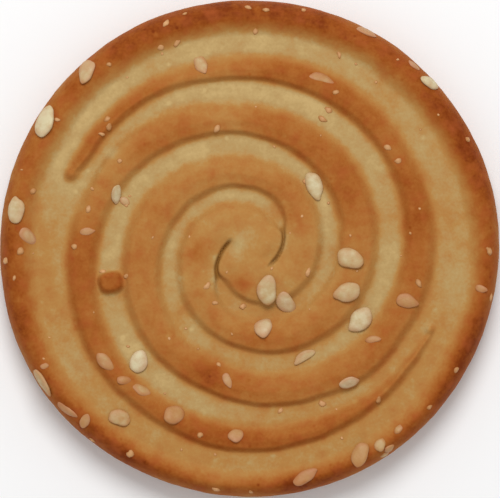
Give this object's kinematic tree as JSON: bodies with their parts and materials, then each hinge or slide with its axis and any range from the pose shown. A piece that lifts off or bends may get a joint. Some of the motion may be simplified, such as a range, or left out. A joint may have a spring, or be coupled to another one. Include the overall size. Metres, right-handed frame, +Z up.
{
  "type": "sesame biscuit",
  "caption": "Round flat biscuit with two grooves winding out from its middle as a double swirl, a channel inside a raised rim, and sesame seeds baked into the top.",
  "frame": {"origin": "middle of the flat underside", "axes": "+Z up, out of the swirled top; seen from above, the outer ends of the two ridges lie about 158 and 338 degrees anticlockwise from +X"},
  "size_m": [0.0561, 0.0558, 0.0073],
  "materials": {
    "baked_dough": "matte"
  },
  "bodies": {
    "root": {"sesame_biscuit": "baked_dough"}
  },
  "joints": []
}
